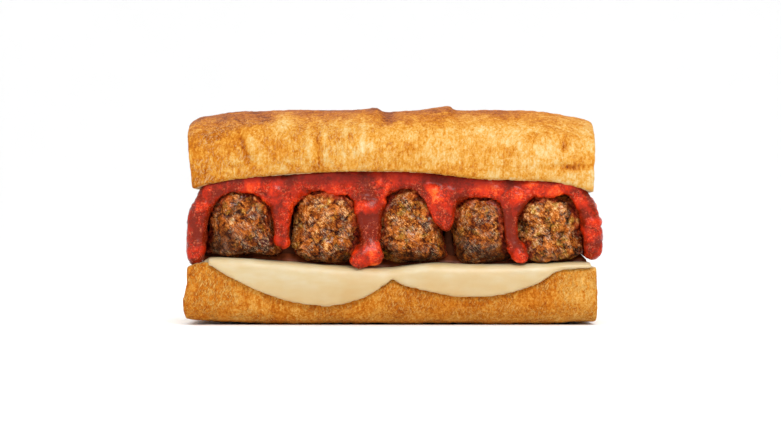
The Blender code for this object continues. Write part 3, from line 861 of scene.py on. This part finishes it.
def settle(points, name):
    """Broadens a ball's lower half, as soft meat does where it rests."""
    low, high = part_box(name)
    middle = np.array([(low.x + high.x) / 2, (low.y + high.y) / 2])
    depth = np.clip(((low.z + high.z) / 2 - points[:, 2]) / ((high.z - low.z) / 2), 0, LOWEST_SETTLED)
    broader = (1 - depth**SETTLED_POWER) ** (1 / SETTLED_POWER) / np.sqrt(1 - depth**2)
    points[:, :2] = middle + (points[:, :2] - middle) * (1 + SETTLING * (broader - 1))[:, None]
    return points


def sauce_film(points, seed, sauce_tree):
    """A thin film of sauce, in patches, where the meat is close to the sauce."""
    distance = np.array([sauce_tree.find_nearest(p)[3] for p in points.tolist()])
    patches = fractal(points, FILM_PATCH_SIZE, seed, 2) + 0.4 - distance / FILM_FADE
    return (1 - smoothstep(distance, *FILM_REACH)) * smoothstep(patches, -0.6, 0.2)


def meatball_mesh(name, seed, sauce_tree):
    """Coarse ground meat: crumbly lumps with cracks between them, and a film of sauce where sauce is near."""
    mesh = solid_form([name], rounding=2, voxel=MEAT_VOXEL, smoothing=3)
    points, facing = settle(coordinates(mesh), name), normals(mesh)
    warp = warped_by(points, MEAT_WARP_SIZE, (seed + 1.3, seed + 6.9, seed + 11.7))
    lump_near, lump_next, _ = cells(points + LUMP_WARP * warp, LUMP_SIZE, seed + 5)
    seams = 1 - smoothstep(lump_next - lump_near, 0.0, 0.14)
    grain_near, grain_next, tint = cells(points + MEAT_GRAIN_WARP * warp, MEAT_GRAIN_SIZE, seed + 8)
    cracks = 1 - smoothstep(grain_next - grain_near, 0.0, 0.25)
    grains = (1 - 1.2 * grain_near**2 - 0.8 * cracks) * smoothstep(warp[:, 0], -0.4, 0.4) - 0.35
    broken = fractal(points, BROKEN_SIZE, seed + 2)
    bits = fractal(points + BIT_WARP * warp, BIT_SIZE, seed + 4, 4)
    height = BROKEN_HEIGHT * broken - SEAM_DEPTH * seams + MEAT_GRAIN_HEIGHT * grains + BIT_HEIGHT * bits
    # Juice stains, and painted shade low on the balls, where the relief is also softened.
    stained_and_shaded = spots(points, MEAT_STAINS_AND_SHADE, 0, 1)
    move_to(mesh, raised(points, facing, height * (1 - 0.5 * stained_and_shaded)))
    # Relief for the colour: painted light on raised lumps and bits, painted shade in the seams and cracks.
    relief = 0.52 + 0.12 * broken - 0.34 * seams + 0.18 * grains + 0.26 * bits
    paint(mesh, "relief", np.clip(relief, 0, 1))
    paint(mesh, "tint", 0.5 + 0.5 * tint)
    paint(mesh, "rise", rise_in(points, name))
    paint(mesh, "film", sauce_film(points, seed + 3, sauce_tree))
    paint(mesh, "stained_and_shaded", stained_and_shaded)
    paint(mesh, "doneness", np.full(len(points), DONENESS.get(name, USUAL_DONENESS)))
    return mesh


def meat_tone(g, strands, fibres):
    """How light the meat is: painted shade in its cracks and at its foot, painted light on its raised lumps and
    bits, and darker where it's well done.
    """
    # The relief paints shade into the cracks and light onto the raised bits.
    return g.blend(
        (g.attribute("relief"), 0.95),
        (strands, 1.9),
        (fibres, 1.4),
        (g.noise(6 * MM, 3, 0.6), 0.8),
        # Painted shade at the foot.
        (g.step(g.attribute("rise"), 0.34, 0.05), -0.16),
        (g.attribute("doneness"), -0.22),
        (1.0, -1.97),
    )


def meat_colour(g, tone, slivers):
    """Browned meat with olive and ruddy patches, charred grains and pale slivers painted as highlights, under
    juice stains mixed with painted shade, and under sauce.
    """
    olive = g.times(g.step(g.noise(4.5 * MM, 3, swirl=0.8), 0.52, 0.62), 0.45)
    colour = g.mix(olive, g.ramp(tone, MEAT_PALETTE), g.mix(tone, *OLIVE_SHADES))
    ruddy = g.step(g.noise(5.5 * MM, 3, swirl=0.8), 0.46, 0.58)
    ruddy = g.blend((ruddy, 0.6), (g.attribute("doneness"), 0.4), (1.0, -0.08))
    colour = g.mix(ruddy, colour, g.mix(tone, *RUDDY_SHADES))
    charred = g.times(g.step(g.attribute("tint"), 0.12, 0.02), 0.5)
    colour = g.mix(charred, colour, CHARRED_COLOUR)
    # Pale slivers painted as highlights.
    colour = g.mix(g.times(slivers, 0.55), colour, SLIVER_HIGHLIGHT_COLOUR)
    # Juice stains mixed with painted shade.
    colour = g.mix(g.attribute("stained_and_shaded"), colour, g.mix(tone, *STAIN_AND_SHADE_COLOURS))
    return g.mix(g.times(g.attribute("film"), 0.8), colour, g.mix(tone, *FILM_SHADES))


def meat_material():
    """Strands and fibres of browned meat, shiny where it's greasy, with pale slivers there painted as
    highlights.
    """
    g = Graph("browned_meat")
    strands = g.noise(0.6 * MM, 3, 0.65, (1, 1, 3.2), 1.2, -0.7)
    fibres = g.noise(0.55 * MM, 3, 0.65, swirl=1.4)
    greasy = g.step(g.noise(4 * MM, 2), 0.46, 0.58)
    # Pale slivers on the greasy patches, painted as highlights.
    slivers = g.times(g.strokes(0.5 * MM, -0.75, 0.53, 0.8), greasy)
    g.set(Base_Color=meat_colour(g, meat_tone(g, strands, fibres), slivers))
    g.set(Roughness=g.blend((greasy, -0.28), (strands, 0.3), (g.attribute("film"), -0.12), (1.0, 0.42)))
    g.set(Coat_Weight=g.times(greasy, 0.4))
    g.set(Specular_IOR_Level=0.08)
    g.set(Coat_Roughness=0.12)
    g.bump(g.blend((strands, 0.8), (fibres, 0.4), (slivers, 0.2)), 0.6 * MM, 1.0)
    return g.material


def make_meatballs(sauce):
    """Two rows of balls, each ball with its own seed."""
    tree = BVHTree.FromObject(sauce, bpy.context.evaluated_depsgraph_get())
    material = meat_material()
    for row, row_seed in (("front", 0.0), ("back", 71.3)):
        for i in range(1, BALLS_PER_ROW + 1):
            name = f"meatball_{row}_{i}"
            mesh = meatball_mesh(name, 13.7 * i + row_seed, tree)
            place(f"meat_{row}_{i}", mesh, material, "meat", [name])


# Cheese


def cheese_mesh():
    """Both slices melted into one sheet, thin at its hanging edge."""
    mesh = solid_form(["cheese_left", "cheese_right"], rounding=1, voxel=CHEESE_VOXEL, smoothing=5, sharp=70)
    points, facing = coordinates(mesh), normals(mesh)
    waves = fractal(points, CHEESE_WAVE_SIZE, 5.5, 2)
    moved = raised(points, facing, CHEESE_SWELL + CHEESE_WAVE_HEIGHT * waves)
    beyond = np.maximum(CHEESE_TIP - points[:, 0], 0)
    moved[:, 0] += TIP_DRAW * beyond
    moved[:, 1] *= 1 - TIP_BACK * smoothstep(beyond, 0, TIP_REACH)
    move_to(mesh, moved)
    paint(mesh, "drop", 1 - rise_in(points, "cheese_left"))
    return mesh


def cheese_material():
    """Pale, slightly waxy cheese, deeper in colour down its hanging edge."""
    g = Graph("melted_cheese")
    streaks = g.noise(3 * MM, 3, 0.5, (3, 1, 1))
    tone = g.blend((g.noise(13 * MM, 2), 0.6), (streaks, 0.4), (g.attribute("drop"), -0.35), (1.0, 0.15))
    g.set(Base_Color=g.ramp(tone, CHEESE_PALETTE))
    g.set(Roughness=g.blend((g.noise(6 * MM, 2), 0.2), (1.0, 0.28)))
    g.set(Subsurface_Weight=0.35)
    g.set(Subsurface_Radius=(1.0, 0.7, 0.4))
    g.set(Subsurface_Scale=3.0 * MM)
    g.bump(g.noise(1.6 * MM, 3), 0.15 * MM, 0.5)
    return g.material


def make_cheese():
    place("melted_cheese", cheese_mesh(), cheese_material(), "cheese", ["cheese_left", "cheese_right"])


# Juices


def ground_under(tree, x, y):
    """Height of the cheese below a point, or its usual level where there's none."""
    hit = tree.ray_cast(Vector((x, y, ABOVE_CHEESE)), Vector((0, 0, -1)), SEARCH_DOWN)[0]
    return hit.z if hit else CHEESE_LEVEL


def shell_faces(columns, rows):
    """Faces of a closed slab whose top and bottom are grids of this many points."""
    under = columns * rows
    faces = []
    for r in range(rows - 1):
        for c in range(columns - 1):
            a = r * columns + c
            face = (a, a + 1, a + columns + 1, a + columns)
            faces.append(face)
            faces.append(tuple(v + under for v in reversed(face)))
    rim = list(range(columns))
    rim += [r * columns + columns - 1 for r in range(1, rows)]
    rim += [(rows - 1) * columns + c for c in range(columns - 2, -1, -1)]
    rim += [r * columns for r in range(rows - 2, 0, -1)]
    for a, b in zip(rim, rim[1:] + rim[:1]):
        faces.append((b, a, a + under, b + under))
    return faces


def juice_mesh():
    """A thin pool that lies on the cheese and rounds off at its edge."""
    xs = np.arange(-JUICE_HALF_LENGTH, JUICE_HALF_LENGTH, JUICE_STEP)
    ys = np.arange(-JUICE_HALF_DEPTH, JUICE_HALF_DEPTH + JUICE_STEP, JUICE_STEP)
    grid = np.array([(x, y, 0.0) for y in ys for x in xs])
    cheese = BVHTree.FromObject(bpy.data.objects["melted_cheese"], bpy.context.evaluated_depsgraph_get())
    ground = np.array([ground_under(cheese, x, y) for x, y, _ in grid.tolist()])
    waves = fractal(grid, JUICE_WAVE_SIZE, 9.3)
    from_edge = np.minimum(JUICE_HALF_DEPTH - np.abs(grid[:, 1]), JUICE_HALF_LENGTH - np.abs(grid[:, 0]))
    top = grid.copy()
    top[:, 2] = ground + smoothstep(from_edge, *JUICE_EDGE) * (JUICE_THICKNESS + JUICE_WAVE_HEIGHT * waves)
    base = grid.copy()
    base[:, 2] = ground - JUICE_SUNK
    mesh = bpy.data.meshes.new("juices")
    mesh.from_pydata(np.vstack([top, base]).tolist(), [], shell_faces(len(xs), len(ys)))
    mesh.update()
    paint(mesh, "relief", np.tile(0.5 + 0.4 * waves, 2))
    return mesh


def juice_material():
    """Dark, wet juices with a little fat in them, their darkness partly painted shade."""
    g = Graph("juices_and_shade")
    tone = g.blend((g.attribute("relief"), 0.6), (g.noise(2.5 * MM, 3, swirl=0.8), 0.5), (1.0, -0.05))
    # Dark colours, partly painted shade under and between the balls.
    g.set(Base_Color=g.ramp(tone, JUICE_AND_SHADE_PALETTE))
    g.set(Roughness=g.blend((g.noise(3 * MM, 2), 0.3), (1.0, 0.3)))
    g.set(Specular_IOR_Level=0.15)
    return g.material


def make_juices():
    """Dark juices that have run out under the meat and lie between the balls, on the cheese; they also fill
    those gaps as painted shade.
    """
    place("juices_and_shade", juice_mesh(), juice_material(), "tomato_sauce", [])


# Studio


def make_camera():
    camera = bpy.data.cameras.new("camera")
    camera.lens = LENS
    camera.sensor_width = SENSOR_WIDTH
    camera.clip_start = NEAREST_SEEN
    obj = bpy.data.objects.new("camera", camera)
    obj.location = (CAMERA_SIDE, -CAMERA_DISTANCE, CAMERA_HEIGHT)
    obj.rotation_euler = (math.pi / 2, 0, 0)
    bpy.context.scene.collection.objects.link(obj)
    bpy.context.scene.camera = obj


def sweep_profile():
    """The sweep's outline outwards, as radii and heights: level, curving up, then a short wall."""
    profile = [(0.0, 0.0), (FLOOR_RADIUS, 0.0)]
    for i in range(1, CURVE_STEPS + 1):
        turn = math.pi / 2 * i / CURVE_STEPS
        profile.append((FLOOR_RADIUS + SWEEP_CURVE * math.sin(turn), SWEEP_CURVE * (1 - math.cos(turn))))
    profile.append((FLOOR_RADIUS + SWEEP_CURVE, WALL_HEIGHT))
    return profile


def sweep_mesh():
    """The sweep's outline, turned all the way round."""
    bm = bmesh.new()
    turns = [2 * math.pi * k / FLOOR_SIDES for k in range(FLOOR_SIDES)]
    middle = bm.verts.new((0, 0, 0))
    rings = []
    for radius, height in sweep_profile()[1:]:
        rings.append([bm.verts.new((radius * math.cos(t), radius * math.sin(t), height)) for t in turns])
    for k in range(FLOOR_SIDES):
        following = (k + 1) % FLOOR_SIDES
        bm.faces.new((middle, rings[0][k], rings[0][following]))
        for inner, outer in zip(rings, rings[1:]):
            bm.faces.new((inner[k], outer[k], outer[following], inner[following]))
    mesh = bpy.data.meshes.new("floor")
    bm.to_mesh(mesh)
    bm.free()
    return mesh


def floor_material():
    g = Graph("pale_floor")
    g.set(Base_Color=g.mix(g.noise(0.4, 2), *FLOOR_SHADES))
    g.set(Roughness=0.9)
    return g.material


def make_floor():
    """A pale round sweep: level under the sandwich, and curving up into a wall all round it."""
    mesh = sweep_mesh()
    mesh.materials.append(floor_material())
    mesh.shade_smooth()
    floor = bpy.data.objects.new("floor", mesh)
    floor.location = (0, 0, -FLOOR_DROP)
    bpy.context.scene.collection.objects.link(floor)


def soft_light(name, place_at, size, power):
    light = bpy.data.lights.new(name, "AREA")
    light.shape = "RECTANGLE"
    light.size, light.size_y = size
    light.energy = power
    obj = bpy.data.objects.new(name, light)
    obj.location = place_at
    obj.rotation_euler = (Vector(LIGHTS_AIM) - Vector(place_at)).to_track_quat("-Z", "Y").to_euler()
    bpy.context.scene.collection.objects.link(obj)


def make_studio():
    """An even white surround, with soft lights from the front, the left and behind."""
    world = bpy.data.worlds.new("studio")
    world.use_nodes = True
    background = world.node_tree.nodes["Background"]
    background.inputs["Color"].default_value = (1, 1, 1, 1)
    background.inputs["Strength"].default_value = SURROUND_STRENGTH
    bpy.context.scene.world = world
    bpy.context.scene.view_settings.view_transform = "Standard"
    for name, (place_at, size, power) in LIGHTS.items():
        soft_light(name, place_at, size, power)


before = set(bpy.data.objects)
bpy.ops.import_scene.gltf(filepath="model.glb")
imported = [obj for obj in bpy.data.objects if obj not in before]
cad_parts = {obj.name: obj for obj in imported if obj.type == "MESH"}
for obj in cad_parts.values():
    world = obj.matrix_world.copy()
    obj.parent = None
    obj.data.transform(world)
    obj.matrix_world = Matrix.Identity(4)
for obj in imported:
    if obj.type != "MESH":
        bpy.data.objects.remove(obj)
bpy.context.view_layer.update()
make_camera()
make_floor()
make_studio()
make_bread()
make_cheese()
make_meatballs(make_sauce())
make_juices()
